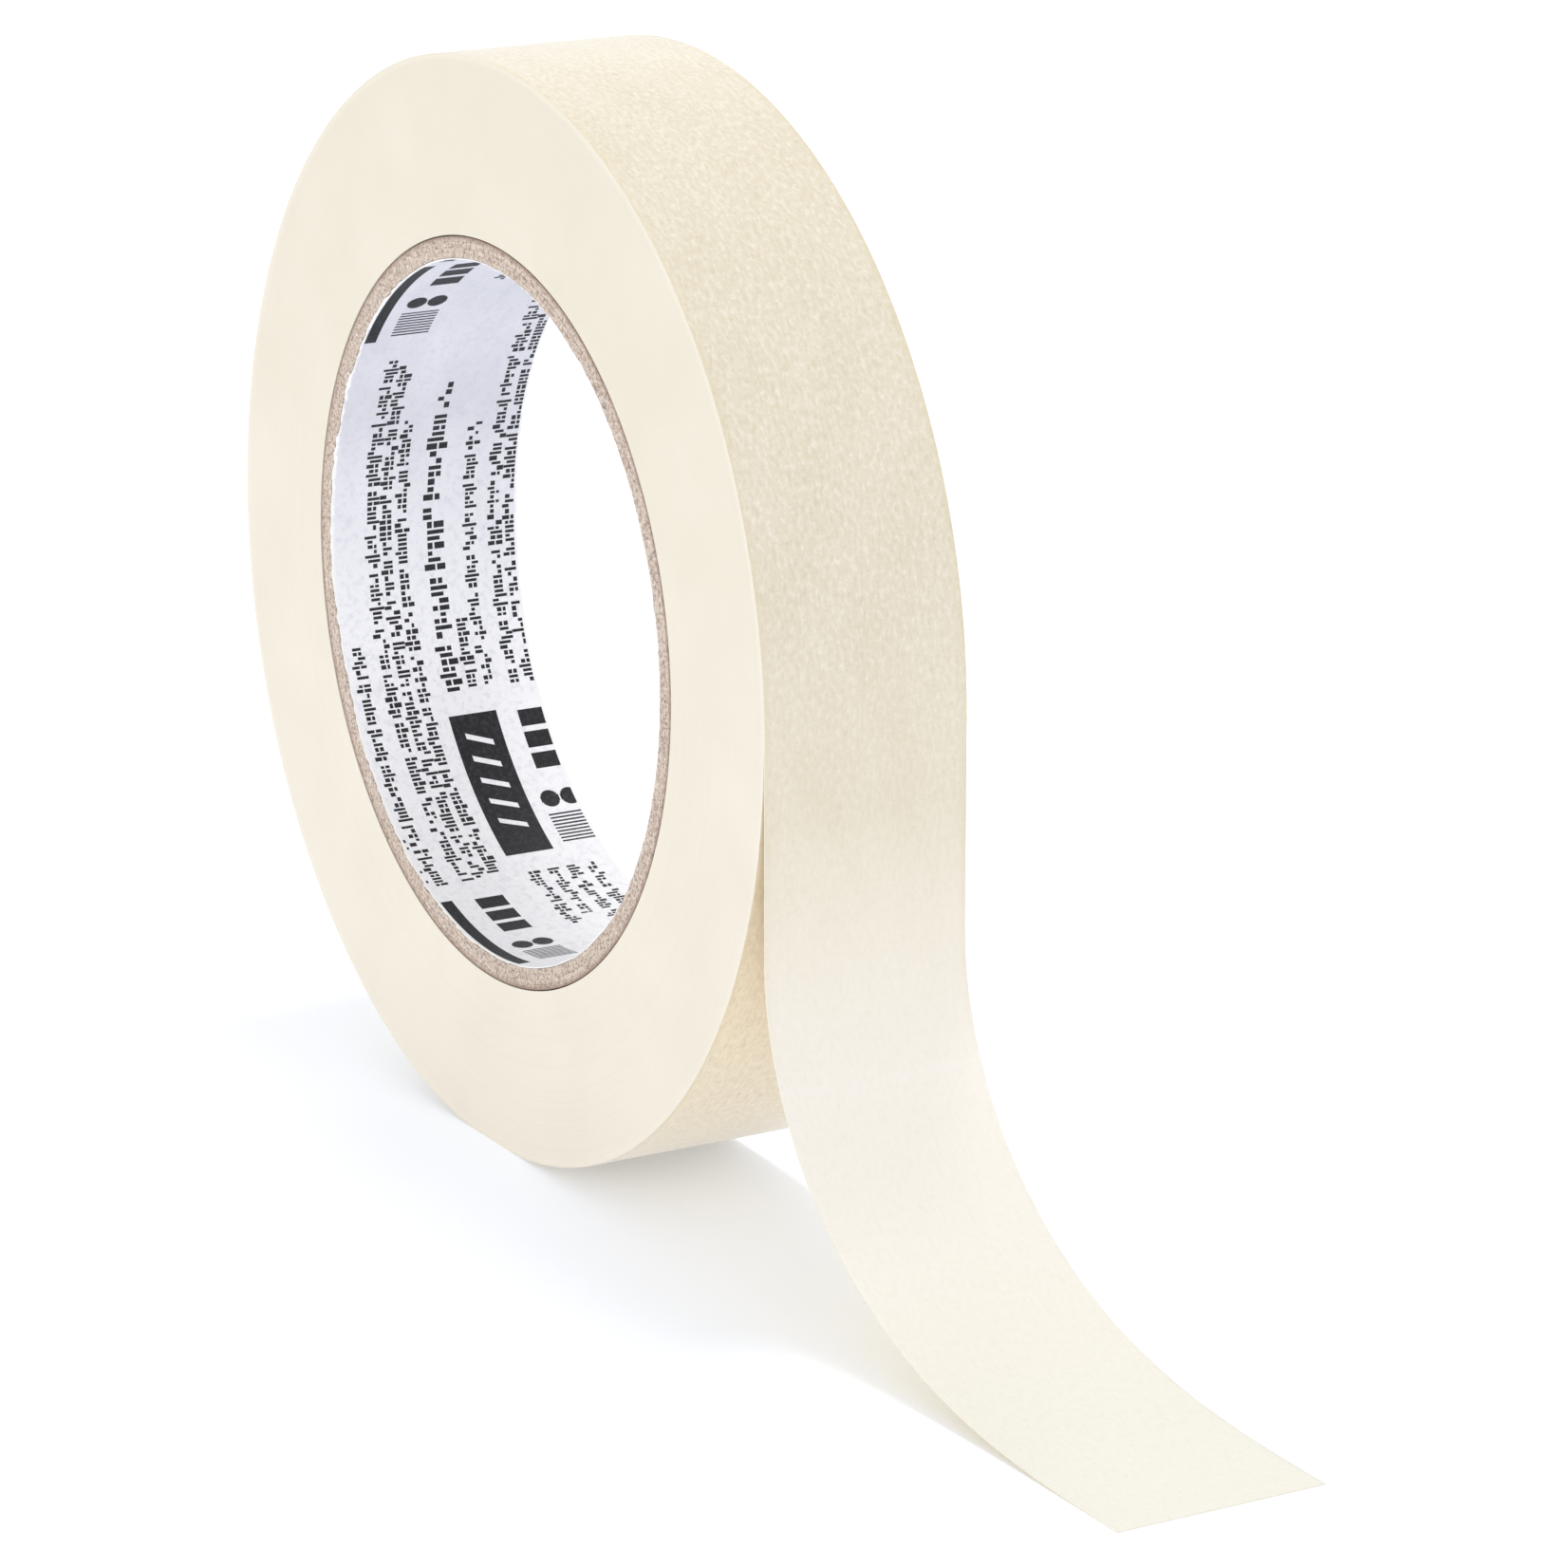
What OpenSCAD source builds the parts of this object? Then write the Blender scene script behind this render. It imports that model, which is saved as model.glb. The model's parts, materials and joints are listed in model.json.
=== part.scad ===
// Masking tape roll on a paper core, standing on its rim.
// The loose end leaves the rim at mid height, hangs down, curls outwards and lies on the floor.
// The roll's axis is Y, up is +Z, and the origin is the middle of the bore.

/* [Roll] */
// Outside diameter of the wound tape
roll_od = 120; // [108:1:140]
// Width of the tape, and of the core it is wound on
tape_w = 23.5; // [12:0.5:50]
// Thickness of one layer of tape
tape_t = 0.15; // [0.12:0.01:0.2]
// How far the layers are pressed flat where the roll stands
rest_flat = 0.3; // [0.1:0.05:0.5]

/* [Core] */
// Bore of the core (3 inch)
core_id = 76.2; // [70:0.1:80]
// Thickness of the white liner
liner_t = 0.2; // [0.15:0.01:0.3]
// Thickness of each kraft ply
ply_t = 0.575; // [0.4:0.005:0.7]

/* [Loose end] */
// Length of the part that curls from hanging to lying flat
curl_len = 85; // [75:1:100]
// Slit between two lengths of the strip, where it bends
hinge_gap = 0.1; // [0.08:0.01:0.2]

/* [Hidden] */
$fn = 180;

roll_r = roll_od / 2;
bore_r = core_id / 2;
ply_count = 4;
core_r = bore_r + liner_t + ply_count * ply_t;
lap_clear = 2 * hinge_gap;

hang_count = 2;
curl_count = 10;
curl_step = curl_len / curl_count;
flat_heading = 90;
hang_x = roll_r - tape_t / 2;
floor_depth = roll_r - tape_t / 2 - rest_flat;
hang_len = floor_depth - tape_t / 2 - drop(curl_count);
hang_step = hang_len / hang_count;

paper_white = [0.93, 0.93, 0.94];
kraft = [0.80, 0.72, 0.64];
cream = [0.95, 0.92, 0.85];
cream_dark = [0.92, 0.88, 0.79];

// Degrees between straight down and the strip's direction, k lengths into the curl.
// The strip bends most where the curl starts, and less and less towards the cut end.
function heading(k) = flat_heading * (1 - pow(1 - k / curl_count, 2));
function bend(k) = heading(k + 1) - heading(k);
function mean_heading(k) = (heading(k) + heading(k + 1)) / 2;
function bend_r(k) = curl_step / (bend(k) * PI / 180);
function chord(k) = 2 * bend_r(k) * sin(bend(k) / 2);

// How far curl length k starts below the hanging part, and how far out from it.
function drop(k) = k == 0 ? 0 : drop(k - 1) + chord(k - 1) * cos(mean_heading(k - 1));
function reach(k) = k == 0 ? 0 : reach(k - 1) + chord(k - 1) * sin(mean_heading(k - 1));

// Makes a flat outline into a slab as wide as the tape, upright in X and Z.
module across_tape() {
    rotate([90, 0, 0])
        linear_extrude(height = tape_w, center = true)
            children();
}

module ring(inner_r, wall) {
    across_tape()
        difference() {
            circle(r = inner_r + wall);
            circle(r = inner_r);
        }
}

// The wound spiral's outline, a given depth under its surface. The lower half is struck half
// a thickness off centre, so one turn climbs by exactly one thickness of tape. Every layer
// is flat at the bottom, where the roll stands.
module lap_outline(depth) {
    intersection() {
        circle(r = roll_r - depth);
        translate([-roll_od, 0])
            square([2 * roll_od, roll_od]);
    }
    intersection() {
        translate([-tape_t / 2, 0])
            circle(r = roll_r - tape_t / 2 - depth);
        translate([-roll_od, depth - floor_depth])
            square([2 * roll_od, floor_depth - depth]);
    }
}

module core_liner() {
    color(paper_white)
        ring(bore_r, liner_t);
}

module core_ply(index) {
    color(kraft)
        ring(bore_r + liner_t + (index - 1) * ply_t, ply_t);
}

module wound_tape() {
    color(cream)
        across_tape()
            difference() {
                lap_outline(tape_t);
                circle(r = core_r);
            }
}

// The last lap starts just above the peel line, runs over the top and ends under its own start.
module outer_turn() {
    color(cream_dark)
        across_tape()
            difference() {
                lap_outline(0);
                lap_outline(tape_t);
                translate([roll_r - 2 * tape_t, 0])
                    square([3 * tape_t, lap_clear]);
            }
}

module tail_hang(index) {
    color(cream)
        translate([hang_x, 0, -(index - 0.5) * hang_step])
            cube([tape_t, tape_w, hang_step - hinge_gap], center = true);
}

module tail_curl(index) {
    k = index - 1;
    r = bend_r(k);
    slit = hinge_gap / 2 / r * 180 / PI;
    centre_x = hang_x + reach(k) + r * cos(heading(k));
    centre_z = -hang_len - drop(k) + r * sin(heading(k));
    color(cream)
        translate([centre_x, 0, centre_z])
            rotate([90, 0, 0])
                rotate([0, 0, 180 + heading(k) + slit])
                    rotate_extrude(angle = bend(k) - 2 * slit)
                        translate([r - tape_t / 2, -tape_w / 2])
                            square([tape_t, tape_w]);
}

core_liner();
core_ply(1);  // core_ply_1
core_ply(2);  // core_ply_2
core_ply(3);  // core_ply_3
core_ply(4);  // core_ply_4
wound_tape();
outer_turn();
tail_hang(1);  // tail_hang_1
tail_hang(2);  // tail_hang_2
tail_curl(1);  // tail_curl_1
tail_curl(2);  // tail_curl_2
tail_curl(3);  // tail_curl_3
tail_curl(4);  // tail_curl_4
tail_curl(5);  // tail_curl_5
tail_curl(6);  // tail_curl_6
tail_curl(7);  // tail_curl_7
tail_curl(8);  // tail_curl_8
tail_curl(9);  // tail_curl_9
tail_curl(curl_count);  // tail_tip
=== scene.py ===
import json
import math

import bpy
import numpy as np
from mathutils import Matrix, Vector

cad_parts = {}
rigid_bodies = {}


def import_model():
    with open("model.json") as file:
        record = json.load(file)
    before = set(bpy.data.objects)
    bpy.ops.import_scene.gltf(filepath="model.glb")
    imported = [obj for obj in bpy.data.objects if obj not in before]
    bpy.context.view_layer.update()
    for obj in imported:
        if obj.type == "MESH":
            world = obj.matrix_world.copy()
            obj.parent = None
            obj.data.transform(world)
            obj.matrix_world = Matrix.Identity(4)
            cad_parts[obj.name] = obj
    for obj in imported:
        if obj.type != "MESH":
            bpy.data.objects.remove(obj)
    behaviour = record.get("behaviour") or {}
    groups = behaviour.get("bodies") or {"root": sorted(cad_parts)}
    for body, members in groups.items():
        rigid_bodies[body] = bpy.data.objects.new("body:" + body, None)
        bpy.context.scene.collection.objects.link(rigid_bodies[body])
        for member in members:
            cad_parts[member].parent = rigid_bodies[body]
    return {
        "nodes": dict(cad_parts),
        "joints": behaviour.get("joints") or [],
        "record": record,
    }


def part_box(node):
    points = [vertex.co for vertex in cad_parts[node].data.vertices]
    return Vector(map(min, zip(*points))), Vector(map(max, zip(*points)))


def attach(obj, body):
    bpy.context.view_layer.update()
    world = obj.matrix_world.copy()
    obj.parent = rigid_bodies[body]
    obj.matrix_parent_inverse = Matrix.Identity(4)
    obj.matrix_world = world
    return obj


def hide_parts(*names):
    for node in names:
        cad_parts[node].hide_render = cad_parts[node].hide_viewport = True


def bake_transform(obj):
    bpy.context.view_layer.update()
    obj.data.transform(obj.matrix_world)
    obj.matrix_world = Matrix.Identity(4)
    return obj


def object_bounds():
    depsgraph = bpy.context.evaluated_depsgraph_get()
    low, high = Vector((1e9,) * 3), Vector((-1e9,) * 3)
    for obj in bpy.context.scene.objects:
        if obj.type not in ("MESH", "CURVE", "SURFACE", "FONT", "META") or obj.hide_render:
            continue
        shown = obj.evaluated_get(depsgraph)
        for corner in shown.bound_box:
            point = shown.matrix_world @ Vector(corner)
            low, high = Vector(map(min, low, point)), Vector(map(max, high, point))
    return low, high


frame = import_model()
cad_lo, cad_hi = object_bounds()

MM = 0.001

# ---------------------------------------------------------------------------------------------
# Sizes, from the frame. The roll's axis is Y. An angle on the roll starts at +X and grows
# towards +Z. "Along" is measured along the strip from its cut end, "across" is Y.
# ---------------------------------------------------------------------------------------------
mounts = {mount["name"]: mount for mount in frame["record"]["mounts"]}
bore_r = mounts["core_bore"]["dims"]["r_mm"] * MM
liner_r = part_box("core_liner")[1].z
ply_nodes = sorted(name for name in frame["nodes"] if name.startswith("core_ply"))
core_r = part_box(ply_nodes[-1])[1].z
roll_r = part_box("outer_turn")[1].z
half_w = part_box("wound_tape")[1].y
tape_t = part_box("tail_hang_1")[1].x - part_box("tail_hang_1")[0].x
floor_z = cad_lo.z
flat_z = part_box("outer_turn")[0].z


def chain_of_tail():
    """The loose end's joints in order, from the peel line to the cut end."""
    by_parent = {joint["parent"]: joint for joint in frame["joints"]}
    chain = [by_parent["roll"]]
    while chain[-1]["child"] in by_parent:
        chain.append(by_parent[chain[-1]["child"]])
    return chain


tail_chain = chain_of_tail()
tail_bodies = [joint["child"] for joint in tail_chain]


def tail_line():
    """Joint points and the strip's heading at each, in radians from straight down. The strip's
    middle line is a chain of arcs through them, and the last arc ends at the cut end."""
    points = [np.array(joint["pos_m"]) for joint in tail_chain]
    tip_lo, tip_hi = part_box(tail_chain[-1]["child"])
    points.append(np.array([tip_hi.x, 0, tip_lo.z + tape_t / 2]))
    headings = [0.0]
    for a, b in zip(points, points[1:]):
        step = b - a
        mean = math.atan2(step[0], -step[2])
        headings.append(2 * mean - headings[-1])
    return points, headings


tail_points, tail_headings = tail_line()


def arc_length(index):
    """The length of the strip between two joint points."""
    chord = np.linalg.norm(tail_points[index + 1] - tail_points[index])
    half = (tail_headings[index + 1] - tail_headings[index]) / 2
    return chord if abs(half) < 1e-6 else chord * half / math.sin(half)


arc_lengths = [arc_length(index) for index in range(len(tail_points) - 1)]
joint_along = np.concatenate([[0.0], np.cumsum(arc_lengths)])
tail_len = joint_along[-1]


def tail_at(down):
    """Middle-line point and outward normal, that far down the strip from the peel line."""
    last = len(arc_lengths) - 1
    index = int(np.clip(np.searchsorted(joint_along, down, side="right") - 1, 0, last))
    start = tail_headings[index]
    turn = tail_headings[index + 1] - start
    part = down - joint_along[index]
    bend = turn * part / arc_lengths[index]
    chord = part if abs(bend) < 1e-9 else part * math.sin(bend / 2) / (bend / 2)
    mean = start + bend / 2
    heading = start + bend
    point = tail_points[index] + chord * np.array([math.sin(mean), 0, -math.cos(mean)])
    return point, np.array([math.cos(heading), 0, math.sin(heading)])


# ---------------------------------------------------------------------------------------------
# Mesh making
# ---------------------------------------------------------------------------------------------
def noise_field(shape, spread, seed):
    """Random heights with a standard deviation of one, smooth over spread samples. It wraps."""
    raw = np.random.default_rng(seed).standard_normal(shape)
    axes = np.meshgrid(*[np.fft.fftfreq(count) for count in shape], indexing="ij")
    power = sum((freq * width) ** 2 for freq, width in zip(axes, spread))
    field = np.real(np.fft.ifftn(np.fft.fftn(raw) * np.exp(-2 * np.pi**2 * power)))
    return field / field.std()


def sampler(size, step, layers, seed):
    """A function (a, b) that reads a sum of noise layers, each (height, spread a, spread b)."""
    shape = tuple(math.ceil(length / step) for length in size)
    total = np.zeros(shape)
    for number, (height, spread_a, spread_b) in enumerate(layers):
        spread = (spread_a / step, spread_b / step)
        total += height * noise_field(shape, spread, seed + number)

    def read(a, b):
        u, v = np.broadcast_arrays(np.asarray(a) / step, np.asarray(b) / step)
        i, j = np.floor(u).astype(int), np.floor(v).astype(int)
        fu, fv = u - i, v - j
        i0, i1 = i % shape[0], (i + 1) % shape[0]
        j0, j1 = j % shape[1], (j + 1) % shape[1]
        low = total[i0, j0] * (1 - fu) + total[i1, j0] * fu
        high = total[i0, j1] * (1 - fu) + total[i1, j1] * fu
        return low * (1 - fv) + high * fv

    return read


def make_object(name, points, faces, lay=None, sharp_deg=40):
    """A smooth-shaded mesh object. lay is stored on its points, for the materials to read."""
    mesh = bpy.data.meshes.new(name)
    mesh.from_pydata(points.tolist(), [], faces)
    mesh.polygons.foreach_set("use_smooth", [True] * len(mesh.polygons))
    mesh.set_sharp_from_angle(angle=math.radians(sharp_deg))
    if lay is not None:
        attribute = mesh.attributes.new("lay", "FLOAT_VECTOR", "POINT")
        attribute.data.foreach_set("vector", lay.astype(np.float32).ravel())
    mesh.update()
    made = bpy.data.objects.new(name, mesh)
    bpy.context.scene.collection.objects.link(made)
    return made


def loop_faces(stations, around, closed):
    """Quads between neighbouring loops of points, and flat caps if the row of loops is open."""
    faces = []
    for i in range(stations if closed else stations - 1):
        a, b = i * around, (i + 1) % stations * around
        for j in range(around):
            k = (j + 1) % around
            faces.append((a + j, b + j, b + k, a + k))
    if not closed:
        faces.append(tuple(range(around)))
        last = (stations - 1) * around
        faces.append(tuple(range(last + around - 1, last - 1, -1)))
    return faces


def paint(made, *materials):
    for material in materials:
        made.data.materials.append(material)
    return made


# ---------------------------------------------------------------------------------------------
# Materials
# ---------------------------------------------------------------------------------------------
def srgb(red, green, blue):
    """A colour given as 0 to 255, as the renderer's linear values."""
    channels = [value / 255 for value in (red, green, blue)]
    linear = [c / 12.92 if c <= 0.04045 else ((c + 0.055) / 1.055) ** 2.4 for c in channels]
    return (*linear, 1.0)


class Paint:
    """A material and its node tree. Lengths in it are millimetres."""

    def __init__(self, name, roughness, specular=0.3):
        self.material = bpy.data.materials.new(name)
        self.material.use_nodes = True
        self.tree = self.material.node_tree
        self.tree.nodes.clear()
        self.surface = self.add(
            "BsdfPrincipled", {"Roughness": roughness, "Specular IOR Level": specular}
        )
        self.add("OutputMaterial", {"Surface": self.surface.outputs["BSDF"]})

    def add(self, kind, inputs=None, **settings):
        node = self.tree.nodes.new("ShaderNode" + kind)
        for key, value in settings.items():
            setattr(node, key, value)
        for key, value in (inputs or {}).items():
            if isinstance(value, bpy.types.NodeSocket):
                self.tree.links.new(value, node.inputs[key])
            else:
                node.inputs[key].default_value = value
        return node

    def place(self, attribute=None):
        """The point in the object, or in the named attribute, in millimetres."""
        if attribute:
            found = self.add("Attribute", attribute_name=attribute).outputs["Vector"]
        else:
            found = self.add("TexCoord").outputs["Object"]
        return self.add(
            "VectorMath", {0: found, "Scale": 1 / MM}, operation="SCALE"
        ).outputs["Vector"]

    def noise(self, place, size, detail=2.0, rough=0.5):
        """Noise from 0 to 1. size is the width of its lumps along each of the three axes."""
        scaled = self.add(
            "VectorMath", {0: place, 1: [1 / s for s in size]}, operation="MULTIPLY"
        ).outputs["Vector"]
        return self.add(
            "TexNoise", {"Vector": scaled, "Scale": 1.0, "Detail": detail, "Roughness": rough}
        ).outputs["Fac"]

    def remap(self, value, low, high, to_low=0.0, to_high=1.0):
        return self.add(
            "MapRange",
            {"Value": value, "From Min": low, "From Max": high, "To Min": to_low, "To Max": to_high},
        ).outputs["Result"]

    def math(self, operation, a, b=0.0):
        return self.add("Math", {0: a, 1: b}, operation=operation).outputs["Value"]

    def mix(self, share, a, b, blend="MIX"):
        """Two colours mixed. share is a number or a socket."""
        node = self.add("Mix", {"Factor": share}, data_type="RGBA", blend_type=blend)
        for socket, value in zip([s for s in node.inputs if s.type == "RGBA"], (a, b)):
            if isinstance(value, bpy.types.NodeSocket):
                self.tree.links.new(value, socket)
            else:
                socket.default_value = value
        return next(s for s in node.outputs if s.type == "RGBA")

    def sheen(self, weight, roughness):
        self.surface.inputs["Sheen Weight"].default_value = weight
        self.surface.inputs["Sheen Roughness"].default_value = roughness

    def finish(self, colour, height=None, depth=0.02, strength=1.0, roughness=None):
        """Joins colour, roughness and a bump of that depth, and gives back the material."""
        self.tree.links.new(colour, self.surface.inputs["Base Color"])
        if roughness is not None:
            self.tree.links.new(roughness, self.surface.inputs["Roughness"])
        if height is not None:
            bump = self.add(
                "Bump", {"Height": height, "Distance": depth * MM, "Strength": strength}
            )
            self.tree.links.new(bump.outputs["Normal"], self.surface.inputs["Normal"])
        return self.material


STACK_LIGHT = srgb(230, 221, 202)
STACK = srgb(223, 213, 191)
GRAIN_DARK = srgb(196, 184, 155)
GRAIN_LIGHT = srgb(252, 249, 240)
SINGLE_LAYER = srgb(249, 243, 233)
SHADED_END = srgb(237, 234, 222)
UNDER_TAIL_LIGHT = srgb(246, 231, 206)

# Places along the strip where its look changes, in millimetres from the cut end. The end of the last
# turn, under the loose end, is painted lighter and warmer: painted light. Towards the cut end the
# strip is painted greyer: painted shade.
PEEL_LINE = tail_len / MM
UNDER_TAIL_START = (tail_len + 1.35 * math.pi * roll_r) / MM
UNDER_TAIL_END = (tail_len + 1.85 * math.pi * roll_r) / MM
GRAIN_FULL = PEEL_LINE + 16
GRAIN_FAINT = PEEL_LINE - 20
FREE_START = PEEL_LINE - 8
FREE_FULL = PEEL_LINE - 36
END_SHADE_START = 68.0
END_SHADE_FULL = 22.0

# Noise with lumps this long looks the same all the way round a ring, in millimetres.
ENDLESS = 400.0

# How far in from an edge its tone starts and where it is full, in millimetres: the strip's two
# edges, the roll's outer face, where it is a painted highlight, the core's outer face, where it is
# a painted shade, and the liner's torn ends.
EDGE_FADE = (0.9, 0.1)
EDGE_HIGHLIGHT_FADE = (0.9, 0.3)
GAP_SHADE_FADE = (0.55, 0.05)
TORN_FADE = (0.5, 0.25)

# Heights in the bore between which the liner is painted paler, a painted light, in millimetres from
# its middle.
LIT_LOW_START = 15
LIT_LOW_FULL = -11


def crepe_paint():
    """Smooth crepe paper: short fibres along the strip, fine wrinkles across, soft blotches. On the
    roll it lies on many layers and is deeper in colour. Where it hangs free it is paler, and its
    grain is fainter. The last turn has painted light under the loose end, and the strip has painted
    shade towards its cut end."""
    p = Paint("crepe_paper", 0.55, 0.4)
    lay = p.place("lay")
    fibres = p.noise(lay, (1.3, 0.42, 1.0), 3.0, 0.6)
    wrinkles = p.noise(lay, (0.42, 1.7, 1.0), 3.0, 0.6)
    speckle = p.noise(lay, (0.85, 0.58, 1.0), 3.0, 0.65)
    blotch = p.noise(lay, (11.0, 6.0, 1.0), 2.0, 0.5)
    parts = p.add("SeparateXYZ", {0: lay})
    along, across = parts.outputs["X"], parts.outputs["Y"]
    free = p.remap(along, FREE_START, FREE_FULL)
    grain = p.remap(along, GRAIN_FULL, GRAIN_FAINT, 1.0, 0.24)
    colour = p.mix(p.remap(blotch, 0.35, 0.65, 0.1, 0.6), STACK, STACK_LIGHT)
    # Painted light: the end of the last turn, under the loose end, is made lighter and warmer.
    colour = p.mix(p.remap(along, UNDER_TAIL_START, UNDER_TAIL_END, 0.0, 0.85), colour, UNDER_TAIL_LIGHT)
    colour = p.mix(free, colour, SINGLE_LAYER)
    # Painted shade: the strip is greyer and darker towards its cut end.
    colour = p.mix(p.remap(along, END_SHADE_START, END_SHADE_FULL), colour, SHADED_END)
    dark = p.math("MULTIPLY", p.remap(fibres, 0.46, 0.70, 0.0, 0.26), grain)
    colour = p.mix(dark, colour, GRAIN_DARK)
    light = p.math("MULTIPLY", p.remap(speckle, 0.50, 0.72, 0.0, 0.42), grain)
    colour = p.mix(light, colour, GRAIN_LIGHT)
    pit = p.math("MULTIPLY", p.remap(speckle, 0.46, 0.28, 0.0, 0.26), grain)
    colour = p.mix(pit, colour, GRAIN_DARK)
    crease = p.math("MULTIPLY", p.remap(wrinkles, 0.46, 0.26, 0.0, 0.20), grain)
    colour = p.mix(crease, colour, GRAIN_DARK)
    start, full = (half_w / MM - inset for inset in EDGE_FADE)
    edge = p.remap(p.math("ABSOLUTE", across), start, full, 0.0, 0.40)
    edge = p.math("MULTIPLY", edge, p.math("SUBTRACT", 1.0, free))
    colour = p.mix(edge, colour, srgb(220, 207, 174))
    height = p.math("ADD", p.math("MULTIPLY", fibres, 0.6), p.math("MULTIPLY", wrinkles, 0.5))
    height = p.math("ADD", height, p.math("MULTIPLY", speckle, 0.8))
    p.sheen(0.6, 0.3)
    return p.finish(colour, height, 0.035, 0.8, p.remap(fibres, 0.3, 0.7, 0.46, 0.62))


def adhesive_paint():
    """The strip's inner side: the same paper under a thin, slightly yellow, satin adhesive."""
    p = Paint("adhesive_side", 0.34, 0.5)
    lay = p.place("lay")
    streaks = p.noise(lay, (9.0, 0.5, 1.0), 3.0, 0.6)
    grain = p.noise(lay, (0.5, 0.35, 1.0), 2.0, 0.5)
    colour = p.mix(p.remap(streaks, 0.3, 0.7), srgb(232, 210, 155), srgb(240, 224, 180))
    colour = p.mix(p.remap(grain, 0.5, 0.8, 0.0, 0.3), colour, srgb(248, 238, 208))
    rough = p.remap(streaks, 0.3, 0.7, 0.28, 0.45)
    return p.finish(colour, grain, 0.012, 0.6, rough)


def side_paint():
    """The slit edges of all the turns: faint rings a layer apart, wider bands and paper dust. The
    tone changes slowly from top to bottom, darker at the top and lighter at the bottom: painted
    shade. The outer layers are lighter: a painted highlight along the roll's edge."""
    p = Paint("slit_side", 0.66, 0.3)
    place = p.place()
    lay = p.place("lay")
    rings = p.noise(lay, (0.16, ENDLESS, ENDLESS), 2.0, 0.7)
    bands = p.noise(lay, (1.7, ENDLESS, ENDLESS), 3.0, 0.6)
    cloud = p.noise(place, (13.0, 13.0, 13.0), 3.0, 0.5)
    dust = p.noise(place, (0.20, 0.20, 0.20), 2.0, 0.6)
    # Painted shade: the side is darker at the top and lighter at the bottom, mixed with soft random
    # clouds.
    level = p.add("SeparateXYZ", {0: place}).outputs["Z"]
    lower = p.remap(level, roll_r / MM, -roll_r / MM)
    slow = p.math("ADD", p.remap(cloud, 0.3, 0.7, -0.2, 0.2), lower)
    colour = p.mix(slow, srgb(227, 219, 201), srgb(239, 231, 216))
    colour = p.mix(p.remap(bands, 0.40, 0.75, 0.0, 0.12), colour, srgb(232, 220, 196))
    colour = p.mix(p.remap(rings, 0.45, 0.75, 0.0, 0.20), colour, srgb(228, 215, 188))
    colour = p.mix(p.remap(dust, 0.60, 0.85, 0.0, 0.30), colour, srgb(253, 249, 241))
    # Painted highlight: the outer layers of the side are lighter, along the roll's edge.
    radius = p.add("SeparateXYZ", {0: lay}).outputs["X"]
    start, full = (roll_r / MM - inset for inset in EDGE_HIGHLIGHT_FADE)
    edge_highlight = p.remap(radius, start, full, 0.0, 0.22)
    colour = p.mix(edge_highlight, colour, srgb(251, 245, 232))
    height = p.math("ADD", p.math("MULTIPLY", rings, 0.8), p.math("MULTIPLY", dust, 0.45))
    return p.finish(colour, height, 0.02, 0.5, p.remap(dust, 0.3, 0.7, 0.58, 0.74))


def kraft_paint(number):
    """Grey-brown board, with flecks and fibres that run round the core. Each ply has its tone. The
    core's outer face is painted darker: painted shade from the gap to the tape."""
    p = Paint(f"kraft_board_{number}", 0.85, 0.2)
    place = p.place()
    lay = p.place("lay")
    cloud = p.noise(place, (4.0, 4.0, 4.0), 3.0, 0.6)
    fleck = p.noise(place, (0.34, 0.34, 0.34), 3.0, 0.75)
    fibre = p.noise(lay, (0.12, 1.4, 0.5), 3.0, 0.6)
    tone = 0.08 * (number % 2)
    shade = p.remap(cloud, 0.3, 0.7, tone, tone + 0.6)
    colour = p.mix(shade, srgb(217, 200, 186), srgb(200, 182, 166))
    colour = p.mix(p.remap(fleck, 0.50, 0.62, 0.0, 0.90), colour, srgb(146, 127, 113))
    colour = p.mix(p.remap(fleck, 0.44, 0.30, 0.0, 0.85), colour, srgb(244, 235, 226))
    colour = p.mix(p.remap(fibre, 0.55, 0.75, 0.0, 0.45), colour, srgb(166, 145, 127))
    # Painted shade: the board darkens towards the core's outer face, by the gap to the tape.
    radius = p.add("SeparateXYZ", {0: lay}).outputs["X"]
    start, full = (core_r / MM - inset for inset in GAP_SHADE_FADE)
    gap_shade = p.remap(radius, start, full, 0.0, 0.75)
    colour = p.mix(gap_shade, colour, srgb(140, 116, 99))
    height = p.math("ADD", p.math("MULTIPLY", fleck, 0.8), p.math("MULTIPLY", fibre, 0.5))
    return p.finish(colour, height, 0.05, 1.0, p.remap(cloud, 0.3, 0.7, 0.80, 0.92))


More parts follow.
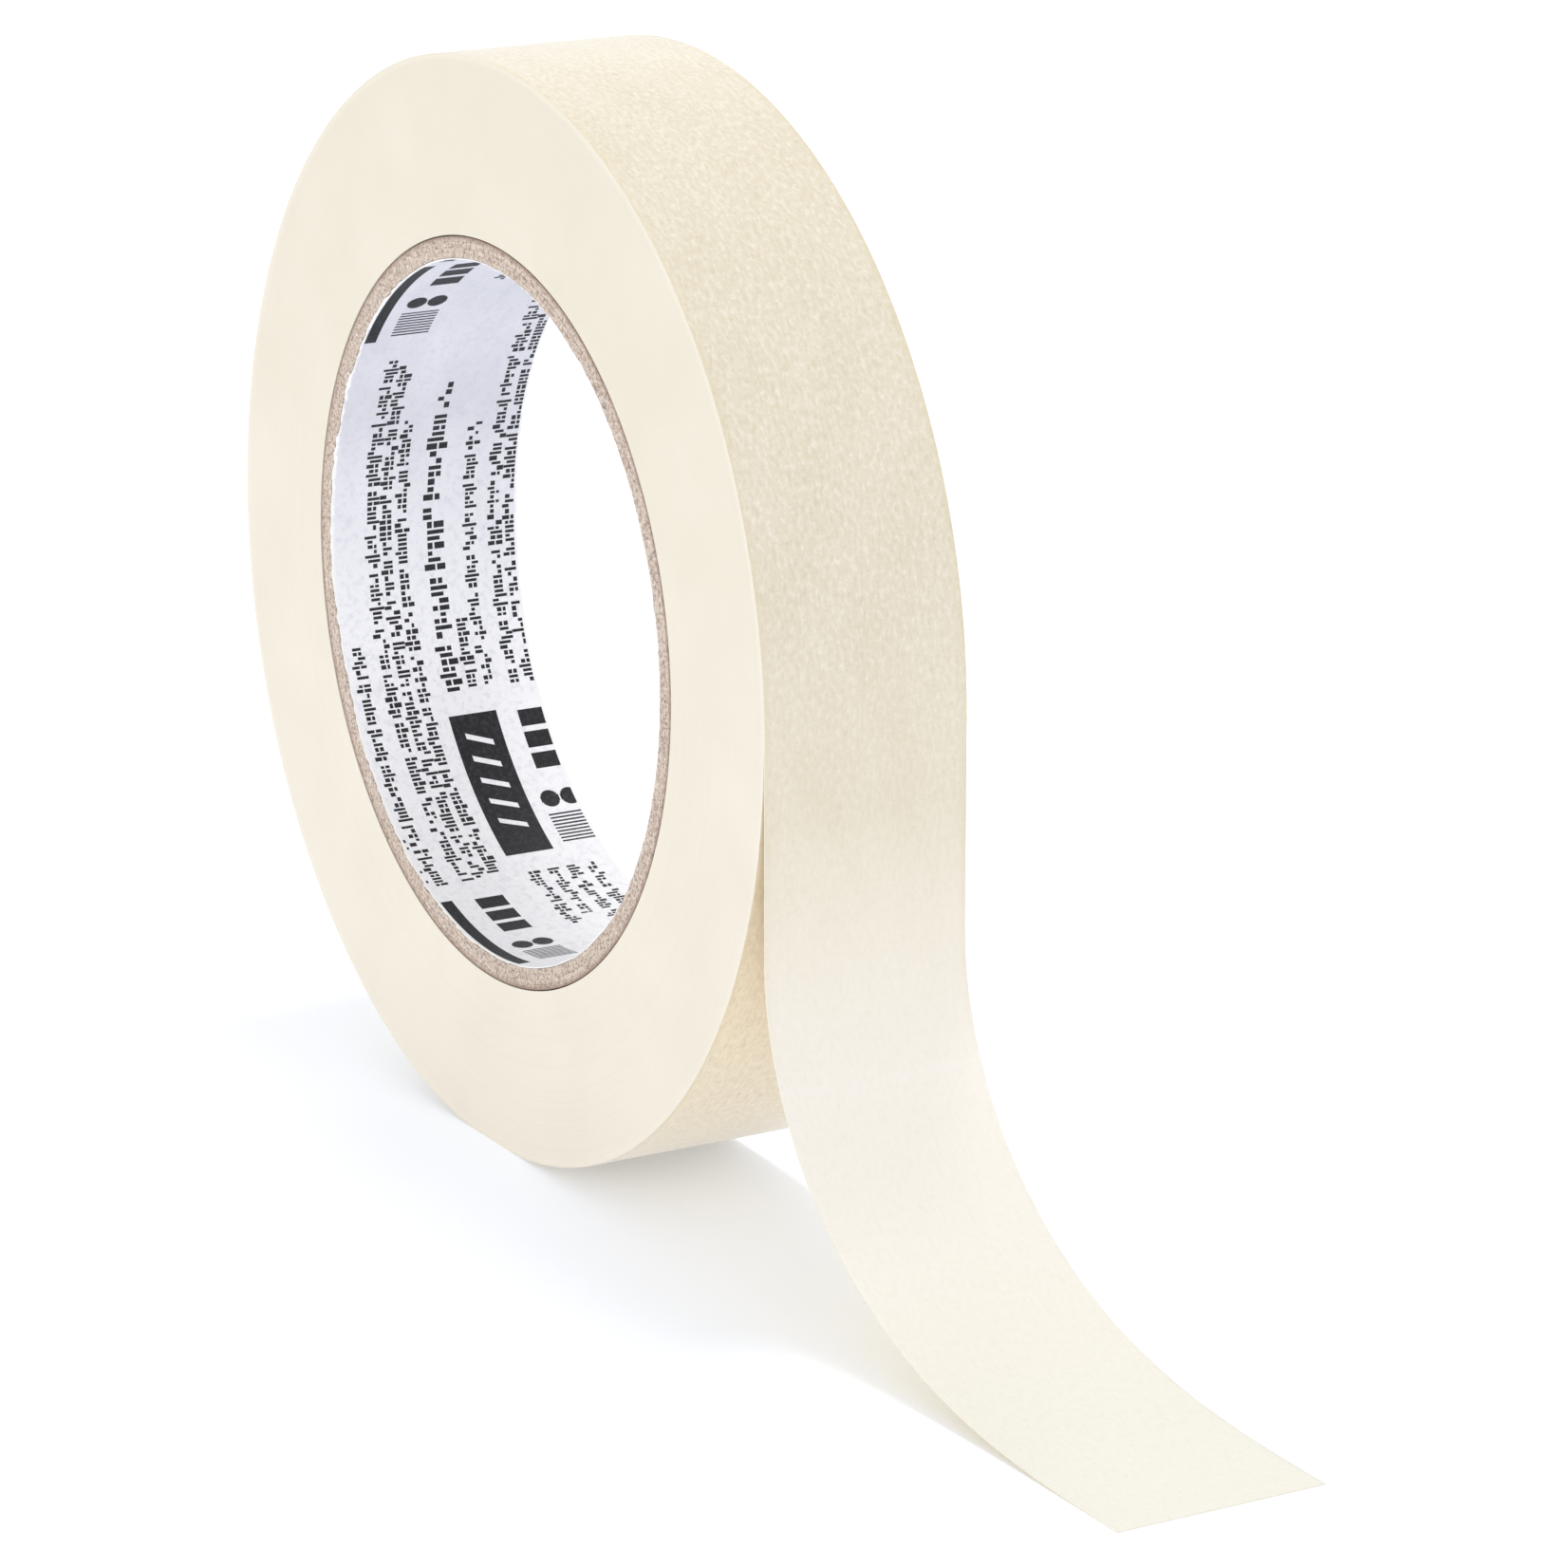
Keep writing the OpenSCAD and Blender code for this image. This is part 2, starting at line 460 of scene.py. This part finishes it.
def liner_paint():
    """White recycled-pulp paper, a little blue and mottled, with grey specks. It is painted paler
    low in the bore: painted light. Its torn ends are bare white pulp."""
    p = Paint("liner_paper", 0.70, 0.35)
    place = p.place()
    mottle = p.noise(place, (0.8, 0.8, 0.8), 4.0, 0.65)
    speck = p.noise(place, (0.22, 0.22, 0.22), 2.0, 0.6)
    cloud = p.noise(place, (9.0, 6.0, 9.0), 2.0, 0.5)
    parts = p.add("SeparateXYZ", {0: place})
    across = p.math("ABSOLUTE", parts.outputs["Y"])
    fray = p.math("ADD", across, p.remap(mottle, 0.0, 1.0, -0.5, 0.5))
    colour = p.mix(p.remap(cloud, 0.3, 0.7), srgb(215, 214, 220), srgb(226, 225, 230))
    # Painted light: the liner is paler low in the bore.
    pale = p.remap(parts.outputs["Z"], LIT_LOW_START, LIT_LOW_FULL)
    colour = p.mix(pale, colour, srgb(251, 250, 252))
    colour = p.mix(p.remap(mottle, 0.48, 0.72, 0.0, 0.40), colour, srgb(198, 200, 212))
    colour = p.mix(p.remap(speck, 0.64, 0.78, 0.0, 0.45), colour, srgb(166, 166, 180))
    start, full = (half_w / MM - inset for inset in TORN_FADE)
    colour = p.mix(p.remap(fray, start, full), colour, srgb(252, 251, 249))
    height = p.math("ADD", p.math("MULTIPLY", mottle, 0.6), p.math("MULTIPLY", speck, 0.5))
    return p.finish(colour, height, 0.03, 0.8, p.remap(mottle, 0.3, 0.7, 0.62, 0.78))


def ink_paint():
    """Black printing ink, thin enough to wear grey in patches."""
    p = Paint("printing_ink", 0.55, 0.35)
    place = p.place()
    wear = p.noise(place, (0.5, 0.5, 0.5), 3.0, 0.6)
    colour = p.mix(p.remap(wear, 0.45, 0.80, 0.0, 0.55), srgb(27, 27, 30), srgb(80, 80, 86))
    return p.finish(colour, wear, 0.01, 0.5, p.remap(wear, 0.3, 0.7, 0.5, 0.65))


# How far from the roll the floor's painted light starts to grow and where it is full, in
# millimetres.
GLOW_NEAR = 130
GLOW_FAR = 420


def floor_paint():
    """A pale sheet with painted light: it glows, less under the roll than further out."""
    p = Paint("pale_floor", 0.80, 0.1)
    place = p.place()
    cloud = p.noise(place, (180.0, 180.0, 180.0), 2.0, 0.5)
    colour = p.mix(p.remap(cloud, 0.3, 0.7), srgb(237, 241, 250), srgb(240, 244, 252))
    # Painted light: the floor glows, less near the roll than further out.
    away = p.add("VectorMath", {0: place}, operation="LENGTH").outputs["Value"]
    painted_glow = p.remap(away, GLOW_NEAR, GLOW_FAR, 0.215, 0.50)
    p.surface.inputs["Emission Color"].default_value = (0.96, 0.975, 1.0, 1.0)
    p.tree.links.new(painted_glow, p.surface.inputs["Emission Strength"])
    return p.finish(colour)


CREPE = crepe_paint()
ADHESIVE = adhesive_paint()
SIDE = side_paint()
LINER = liner_paint()
INK = ink_paint()

# ---------------------------------------------------------------------------------------------
# The roll: its spiral outline, the wound turns and the last one
# ---------------------------------------------------------------------------------------------
# How gently the round outline runs into the flat that it stands on.
FLAT_BLEND = 0.3 * MM


def lap_radius(angle, depth):
    """How far the spiral's surface, less depth, is from the axis. The lower half is struck half a
    thickness off centre, and every layer is flat where the roll stands."""
    cos, sin = np.cos(angle), np.sin(angle)
    off = tape_t / 2
    lower_r = roll_r - off - depth
    lower = -off * cos + np.sqrt(lower_r**2 - (off * sin) ** 2)
    radius = np.where(sin < 0, lower, roll_r - depth)
    stand = (-flat_z - depth) / np.maximum(-sin, 1e-9)
    shared = np.maximum(FLAT_BLEND - np.abs(radius - stand), 0) ** 2 / (4 * FLAT_BLEND)
    return np.where(sin < 0, np.minimum(radius, stand) - shared, radius)


# The strip's mesh: its steps along the roll, along the loose end and across the outer side, how
# many points it has across the inner side, and how much its corners are cut off.
TURN_STEP = 0.42 * MM
TAIL_STEP = 0.4 * MM
SIDE_STEP = 0.5 * MM
INNER_COUNT = 7
EDGE_ROUND = 0.03 * MM

# The paper's own relief, in layers: (height, length along the strip, width across it).
PAPER_RELIEF = [
    (0.006 * MM, 0.55 * MM, 0.40 * MM),
    (0.004 * MM, 0.30 * MM, 1.50 * MM),
    (0.010 * MM, 16.0 * MM, 6.0 * MM),
]
RELIEF_TOP = 0.012 * MM
RELIEF_STEP = 0.2 * MM

strip_len = tail_len + 2 * math.pi * roll_r
paper_relief = sampler((strip_len, 4 * half_w), RELIEF_STEP, PAPER_RELIEF, seed=11)


def strip_section():
    """One cut across the strip: (across, out of its outer side, 1 where it is the outer side)."""
    wide = half_w - EDGE_ROUND
    count = round(2 * wide / SIDE_STEP)
    outer = [(y, tape_t / 2, 1.0) for y in np.linspace(-wide, wide, count + 1)]
    inner = [(y, -tape_t / 2, 0.0) for y in np.linspace(wide, -wide, INNER_COUNT)]
    edge = tape_t / 2 - EDGE_ROUND
    right = [(half_w, edge, 0.0), (half_w, -edge, 0.0)]
    left = [(-half_w, -edge, 0.0), (-half_w, edge, 0.0)]
    return np.array(outer + right + inner + left), len(outer), len(outer) + len(right)


SECTION, OUTER_COUNT, INNER_START = strip_section()


def strip(name, middle, normal, along):
    """A length of tape as a closed mesh. middle and normal are points and directions down its
    middle line, along is each one's place on the whole strip. The relief's tops are cut off at
    the strip's true thickness."""
    across, out, outer = SECTION.T
    relief = paper_relief(along[:, None], across[None, :] + half_w) * outer
    height = out[None, :] + np.minimum(relief, RELIEF_TOP) - RELIEF_TOP * outer
    points = middle[:, None, :] + normal[:, None, :] * height[:, :, None]
    points[:, :, 1] += across[None, :]
    lay = np.stack(np.broadcast_arrays(along[:, None], across[None, :], out[None, :]), axis=2)
    stations, around = points.shape[:2]
    made = make_object(
        name,
        points.reshape(-1, 3),
        loop_faces(stations, around, closed=False),
        lay.reshape(-1, 3),
    )
    paint(made, CREPE, ADHESIVE, SIDE)
    sides = [2] * around
    sides[: OUTER_COUNT - 1] = [0] * (OUTER_COUNT - 1)
    sides[INNER_START : INNER_START + INNER_COUNT - 1] = [1] * (INNER_COUNT - 1)
    made.data.polygons.foreach_set("material_index", sides * (stations - 1) + [2, 2])
    return made


def last_turn():
    """The lap that starts at the peel line, goes over the top and ends under its own start."""
    count = round(2 * math.pi * roll_r / TURN_STEP)
    angle = np.linspace(0, 2 * math.pi, count + 1)
    inside = angle.copy()
    inside[-1] -= 1e-6
    radius = lap_radius(inside, tape_t / 2)
    outward = np.stack([np.cos(angle), np.zeros_like(angle), np.sin(angle)], axis=1)
    made = strip("last_turn", outward * radius[:, None], outward, tail_len + roll_r * angle)
    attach(made, "roll")
    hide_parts("outer_turn")
    return made


def revolve(name, angles, radius, across):
    """A closed ring. radius and across hold one closed loop of points for each angle. Its lay is
    (radius, way round, across)."""
    points = np.stack(
        [radius * np.cos(angles)[:, None], across, radius * np.sin(angles)[:, None]], axis=2
    )
    lay = np.stack([radius, radius * angles[:, None], across], axis=2)
    stations, around = radius.shape
    faces = loop_faces(stations, around, closed=True)
    flipped = [tuple(reversed(face)) for face in faces]
    return make_object(name, points.reshape(-1, 3), flipped, lay.reshape(-1, 3))


def ring_angles(count):
    return np.linspace(0, 2 * math.pi, count, endpoint=False)


def ring(name, angles, inner, outer, end_cut, rings, edge):
    """A ring from radius inner to outer (one value or one for each angle). end_cut(side, angle,
    share) is how far each end face is cut back, at a share of the way out."""
    share = np.linspace(0, 1, rings)
    inner = np.broadcast_to(inner, angles.shape)
    outer = np.broadcast_to(outer, angles.shape)
    face_r = inner[:, None] + edge + (outer - inner - 2 * edge)[:, None] * share
    back = half_w - end_cut(1, angles[:, None], share)
    front = -half_w + end_cut(0, angles[:, None], share)
    radius = np.concatenate(
        [face_r, outer[:, None], outer[:, None], face_r[:, ::-1], inner[:, None], inner[:, None]],
        axis=1,
    )
    across = np.concatenate(
        [
            back,
            back[:, -1:] - edge,
            front[:, -1:] + edge,
            front[:, ::-1],
            front[:, :1] + edge,
            back[:, :1] - edge,
        ],
        axis=1,
    )
    return revolve(name, angles, radius, across)


# An end face's relief is read at an angle round it and a share of the way out.
ROUND_AND_OUT = (2 * math.pi, 1.0)

# Each ring has a count of points round it (ROUND), a count of rings across its end faces (RINGS)
# and a size for its cut corners (EDGE).
WOUND_ROUND = 540
WOUND_RINGS = 66
WOUND_EDGE = 0.015 * MM

# The wound turns' end faces: how far they stand back, the deepest cut, the steps from layer to
# layer and the slow sway. Then the gaps to the core and to the last turn.
WOUND_SET_BACK = 0.025 * MM
WOUND_DEEPEST = 0.08 * MM
LAYER_STEP = 0.003 * MM
FACE_SWAY = 0.012 * MM
CORE_GAP = 0.13 * MM
LAP_GAP = 0.002 * MM


def wound_turns():
    """All the turns under the last one. Their slit edges stand a few hundredths of a millimetre
    in and out of line, more slowly round the roll than from layer to layer."""
    angles = ring_angles(WOUND_ROUND)
    layer = noise_field((2, WOUND_RINGS), (0.01, 0.6), seed=21)
    sway = [sampler(ROUND_AND_OUT, 0.02, [(1.0, 0.5, 0.12)], seed=31 + side) for side in (0, 1)]

    def end_cut(side, angle, share):
        steps = LAYER_STEP * layer[side][None, :]
        slow = FACE_SWAY * sway[side](angle, share)
        return np.clip(WOUND_SET_BACK + steps + slow, 0, WOUND_DEEPEST)

    inner = core_r + CORE_GAP
    outer = lap_radius(angles, tape_t) - LAP_GAP
    made = ring("wound_turns", angles, inner, outer, end_cut, WOUND_RINGS, WOUND_EDGE)
    paint(made, SIDE)
    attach(made, "roll")
    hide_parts("wound_tape")
    return made


# ---------------------------------------------------------------------------------------------
# The core
# ---------------------------------------------------------------------------------------------
PLY_ROUND = 900
PLY_RINGS = 5
PLY_EDGE = 0.035 * MM

# The sawn ends' roughness, in layers: (height in millimetres, spread round in radians, spread
# outwards as a share of the ply). Then the least and the greatest cut, in millimetres.
SAW_MARKS = [(0.010, 0.008, 0.2), (0.012, 0.08, 0.6)]
SAW_LIMITS = (0.01, 0.2)


def core_ply(number, node):
    """One ply of the board. The saw leaves its ends a little rough and out of line."""
    radii = (liner_r, *[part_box(name)[1].z for name in ply_nodes])
    inner, outer = radii[number : number + 2]
    angles = ring_angles(PLY_ROUND)
    seed = 60 + 2 * number
    rough = [sampler(ROUND_AND_OUT, 0.006, SAW_MARKS, seed + side) for side in (0, 1)]
    set_back = 0.06 + 0.02 * (number % 3)

    def end_cut(side, angle, share):
        return MM * np.clip(set_back + rough[side](angle, share), *SAW_LIMITS)

    name = f"kraft_ply_{number + 1}"
    made = ring(name, angles, inner, outer, end_cut, PLY_RINGS, PLY_EDGE)
    paint(made, kraft_paint(number))
    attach(made, "roll")
    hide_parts(node)
    return made


LINER_ROUND = 1440
LINER_RINGS = 3
LINER_EDGE = 0.03 * MM
LINER_GAP = 0.05 * MM
PRINT_T = 0.012 * MM

# The torn ends in millimetres: how deep the front and the back one are on average, the deepest
# tear, and the front one's raggedness, in layers like the saw's marks.
TEAR_DEPTH = (0.14, 0.05)
TEAR_DEEPEST = 0.35
TEARS = [(0.055, 0.008, 1.0), (0.065, 0.03, 1.0), (0.030, 0.2, 1.0)]


def liner():
    """The white paper in the bore. Its cut ends are torn, the front one more than the back."""
    angles = ring_angles(LINER_ROUND)
    torn = [sampler(ROUND_AND_OUT, 0.004, TEARS, seed=80 + side) for side in (0, 1)]

    def end_cut(side, angle, share):
        depth = TEAR_DEPTH[side]
        ragged = depth / TEAR_DEPTH[0] * torn[side](angle, 0 * share)
        return MM * np.clip(depth + ragged, 0.0, TEAR_DEEPEST)

    inner = bore_r + PRINT_T
    outer = liner_r - LINER_GAP
    made = ring("liner", angles, inner, outer, end_cut, LINER_RINGS, LINER_EDGE)
    paint(made, LINER)
    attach(made, "roll")
    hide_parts("core_liner")
    return made


# The print's sizes in millimetres: its margin at the liner's ends, the longest step of a patch
# round the bore, and the least height that a patch cut off by the margin may have.
PRINT_MARGIN = 0.45
PRINT_STEP = 0.8
PRINT_LEAST = 0.05


class Print:
    """Flat printed shapes on the liner, collected into one mesh. A place on it is (round, across)
    in millimetres: round along the bore from +X, across along Y."""

    def __init__(self):
        self.points = []
        self.faces = []

    def block(self, start, end, low, high, lean=(0.0, 0.0)):
        """A four-sided patch. lean shifts its two high corners along the bore."""
        tall = high - low
        foot = low
        edge = half_w / MM - PRINT_MARGIN
        low = max(low, -edge)
        high = min(high, edge)
        if high - low < PRINT_LEAST:
            return
        steps = max(1, math.ceil((end - start) / PRINT_STEP))
        base = len(self.points)
        for i in range(steps + 1):
            at = start + (end - start) * i / steps
            lean_here = lean[0] + (lean[1] - lean[0]) * i / steps
            for y in (low, high):
                angle = (at + lean_here * (y - foot) / tall) * MM / bore_r
                for r in (bore_r, bore_r + 2 * PRINT_T):
                    self.points.append((r * math.cos(angle), y * MM, r * math.sin(angle)))
        for i in range(steps):
            a, b = base + 4 * i, base + 4 * (i + 1)
            self.faces += [
                (a, a + 2, b + 2, b),
                (a + 1, b + 1, b + 3, a + 3),
                (a, b, b + 1, a + 1),
                (a + 2, a + 3, b + 3, b + 2),
            ]
        last = base + 4 * steps
        self.faces += [(base, base + 1, base + 3, base + 2), (last, last + 2, last + 3, last + 1)]

    def ticks(self, start, end, across, height, seed):
        """A row of small dark patches in uneven groups, with no meaning. Every size in it is a
        share of the row's height."""
        rng = np.random.default_rng(seed)
        at = start
        while at < end:
            group_end = min(at + height * rng.uniform(1.6, 5.5), end)
            while at < group_end:
                wide = height * rng.uniform(0.20, 0.38)
                top = height * rng.choice([0.74, 0.74, 0.74, 1.0])
                low = height * rng.choice([0.0, 0.0, 0.0, -0.24])
                split = height * rng.uniform(0.26, 0.42)
                kind = rng.choice(["upright", "upright", "both", "both", "upper", "lower"])
                if kind == "upright":
                    wide = 0.22 * height
                    self.block(at, at + wide, across + low, across + top)
                if kind in ("both", "upper"):
                    self.block(at, at + wide, across + split + 0.11 * height, across + top)
                if kind in ("both", "lower"):
                    self.block(at, at + wide, across + low, across + split)
                at += wide + 0.12 * height
            at += 0.32 * height

    def disc(self, round_at, across, radius):
        """A round patch, as a fan of thin slices."""
        slices = 14
        for i in range(slices):
            low, high = (radius * (2 * (i + k) / slices - 1) for k in (0, 1))
            mid = (low + high) / 2
            half = math.sqrt(radius**2 - mid**2)
            self.block(round_at - half, round_at + half, across + low, across + high)

    def object(self):
        return make_object("liner_print", np.array(self.points), self.faces, sharp_deg=30)


def striped_block(sheet, x, y):
    """A dark block with five light stripes that lean."""
    end = x + 19.0
    stripe_low = y + 1.4
    stripe_high = y + 4.6
    lean = 1.2
    sheet.block(x, end, y, stripe_low)
    sheet.block(x, end, stripe_high, y + 6.0)
    sheet.block(x, x + 2.2, stripe_low, stripe_high, lean=(0.0, lean))
    for i in range(4):
        start = x + 2.9 + 2.8 * i
        sheet.block(start, start + 2.1, stripe_low, stripe_high, lean=(lean, lean))
    sheet.block(x + 14.1, end, stripe_low, stripe_high, lean=(lean, 0.0))


def bars_and_dots(sheet, x, y):
    """Three bars, two dots and a patch of nine fine lines, side by side."""
    for i in range(3):
        start = x + 0.4 + 2.7 * i
        sheet.block(start, start + 2.0, y + 1.0, y + 4.5)
    for i in range(2):
        sheet.disc(x + 11.9, y + 1.1 + 2.5 * i, 1.15)
    for i in range(9):
        start = x + 14.0 + 0.5 * i
        sheet.block(start, start + 0.22, y, y + 4.6)


# The heights of the rows of small marks, in millimetres.
MARK_SMALL = 1.45
MARK_MEDIUM = 1.5
MARK_LARGE = 2.1


def stamp(sheet, x, y, seed, notes, reach):
    """One repeat of the print, with rows of small marks on both sides of it. notes adds the short
    rows after it, and reach is how far the longest rows start before it."""
    striped_block(sheet, x, y)
    bars_and_dots(sheet, x, y + 7.6)
    for i in range(4 if notes else 0):
        end = x + 33.0 - 1.5 * (i % 2)
        sheet.ticks(x + 22.0, end, y + 1.3 + 2.4 * i, MARK_SMALL, seed + i)
    rows_end = x - 3.0
    sheet.ticks(x - 40.0, rows_end, y + 0.7, MARK_LARGE, seed + 10)
    sheet.ticks(x - 11.0, rows_end, y + 3.4, MARK_SMALL, seed + 11)
    sheet.ticks(x - 34.0, rows_end, y + 5.5, MARK_SMALL, seed + 12)
    for i, length in enumerate((reach, reach - 1, reach - 9)):
        sheet.ticks(x - length, rows_end, y + 8.7 + 1.9 * i, MARK_MEDIUM, seed + 13 + i)


# The stamp's places in millimetres (round, across): the first one, the step to the next column,
# and the step round the bore from one repeat to the next.
STAMP_START = (50.0, -0.4)
NEXT_COLUMN = (24.7, -15.5)
STAMP_PERIOD = 91.5

# For each repeat: whether it has notes, its reach, and the reach of the one in the next column.
STAMPS = [(True, 36, 52), (True, 69, 69), (False, 56, 66)]


def liner_print():
    """The stamp repeats along the bore and, on the next column, a part of its length further on."""
    sheet = Print()
    for i, (notes, reach, next_reach) in enumerate(STAMPS):
        x = STAMP_START[0] + STAMP_PERIOD * i
        y = STAMP_START[1]
        seed = 100 + 40 * i
        stamp(sheet, x, y, seed, notes, reach)
        stamp(sheet, x + NEXT_COLUMN[0], y + NEXT_COLUMN[1], seed + 20, False, next_reach)
    made = paint(sheet.object(), INK)
    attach(made, "roll")
    return made


def tail_length(name, start, end):
    """The strip from start to end, both measured down it from the peel line."""
    count = max(3, math.ceil((end - start) / TAIL_STEP) + 1)
    down = np.linspace(start, end, count)
    found = [tail_at(value) for value in down]
    middle = np.array([point for point, normal in found])
    normal = np.array([normal for point, normal in found])
    return strip(name, middle[::-1], normal[::-1], (tail_len - down)[::-1])


def loose_end():
    """The lengths from the peel line to the cut end. Only the last one is attached, to the loose
    end's last body.
    """
    middles = (joint_along[:-1] + joint_along[1:]) / 2
    cuts = [0.0, *middles, tail_len]
    for index, (start, end) in enumerate(zip(cuts, cuts[1:])):
        piece = tail_length(f"loose_end_{index + 1:02d}", start, end)
        if index < len(tail_bodies):
            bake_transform(piece)
        else:
            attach(piece, tail_bodies[-1])
        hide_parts(tail_bodies[min(index, len(tail_bodies) - 1)])


wound_turns()
last_turn()
liner()
liner_print()
for ply_number, ply_node in enumerate(ply_nodes):
    core_ply(ply_number, ply_node)
loose_end()

# ---------------------------------------------------------------------------------------------
# Floor, light and camera
# ---------------------------------------------------------------------------------------------
FLOOR_HALF = 8.0
LIT_POINT = (0.03, 0, 0)


def floor():
    mesh = bpy.data.meshes.new("floor")
    signs = ((-1, -1), (1, -1), (1, 1), (-1, 1))
    corners = [(x * FLOOR_HALF, y * FLOOR_HALF, floor_z) for x, y in signs]
    mesh.from_pydata(corners, [], [(0, 1, 2, 3)])
    made = bpy.data.objects.new("floor", mesh)
    bpy.context.scene.collection.objects.link(made)
    paint(made, floor_paint())


def look_at(made, target):
    made.rotation_mode = "QUATERNION"
    made.rotation_quaternion = (Vector(target) - made.location).to_track_quat("-Z", "Y")


def area_light(name, place, size, watts):
    data = bpy.data.lights.new(name, "AREA")
    data.shape = "DISK"
    data.size = size
    data.energy = watts
    made = bpy.data.objects.new(name, data)
    bpy.context.scene.collection.objects.link(made)
    made.location = place
    look_at(made, LIT_POINT)


def sky(strength):
    world = bpy.data.worlds.new("studio")
    world.use_nodes = True
    background = world.node_tree.nodes["Background"]
    background.inputs["Color"].default_value = (1, 1, 1, 1)
    background.inputs["Strength"].default_value = strength
    bpy.context.scene.world = world


AZIMUTH = math.radians(60.14)
ELEVATION = math.radians(16.19)
DISTANCE = 0.6813
AIM_RIGHT = 0.0216
AIM_UP = -0.0197
LENS = 145.0
SENSOR_W = 36
CLIP_START = 0.01
CLIP_END = 20


def camera():
    """The camera looks at the roll from the loose end's side, a little from above."""
    level = math.cos(ELEVATION)
    back = Vector((math.sin(AZIMUTH) * level, -math.cos(AZIMUTH) * level, math.sin(ELEVATION)))
    right = Vector((math.cos(AZIMUTH), math.sin(AZIMUTH), 0))
    aim = right * AIM_RIGHT + back.cross(right) * AIM_UP
    data = bpy.data.cameras.new("camera")
    data.lens = LENS
    data.sensor_width = SENSOR_W
    data.clip_start = CLIP_START
    data.clip_end = CLIP_END
    made = bpy.data.objects.new("camera", data)
    bpy.context.scene.collection.objects.link(made)
    made.location = aim + back * DISTANCE
    look_at(made, aim)
    bpy.context.scene.camera = made


floor()
sky(strength=0.76)
area_light("overhead", (-0.10, 0.16, 0.95), 0.24, 2.15)
area_light("front_fill", (0.0, -0.75, 0.05), 0.5, 0.85)
area_light("side_fill", (0.85, -0.35, 0.20), 0.8, 1.2)
area_light("back_rim", (-0.75, 0.45, 0.42), 0.5, 0.8)
area_light("top_fill", (-0.05, 0.03, 0.28), 0.16, 0.07)
camera()
bpy.context.scene.view_settings.view_transform = "Standard"
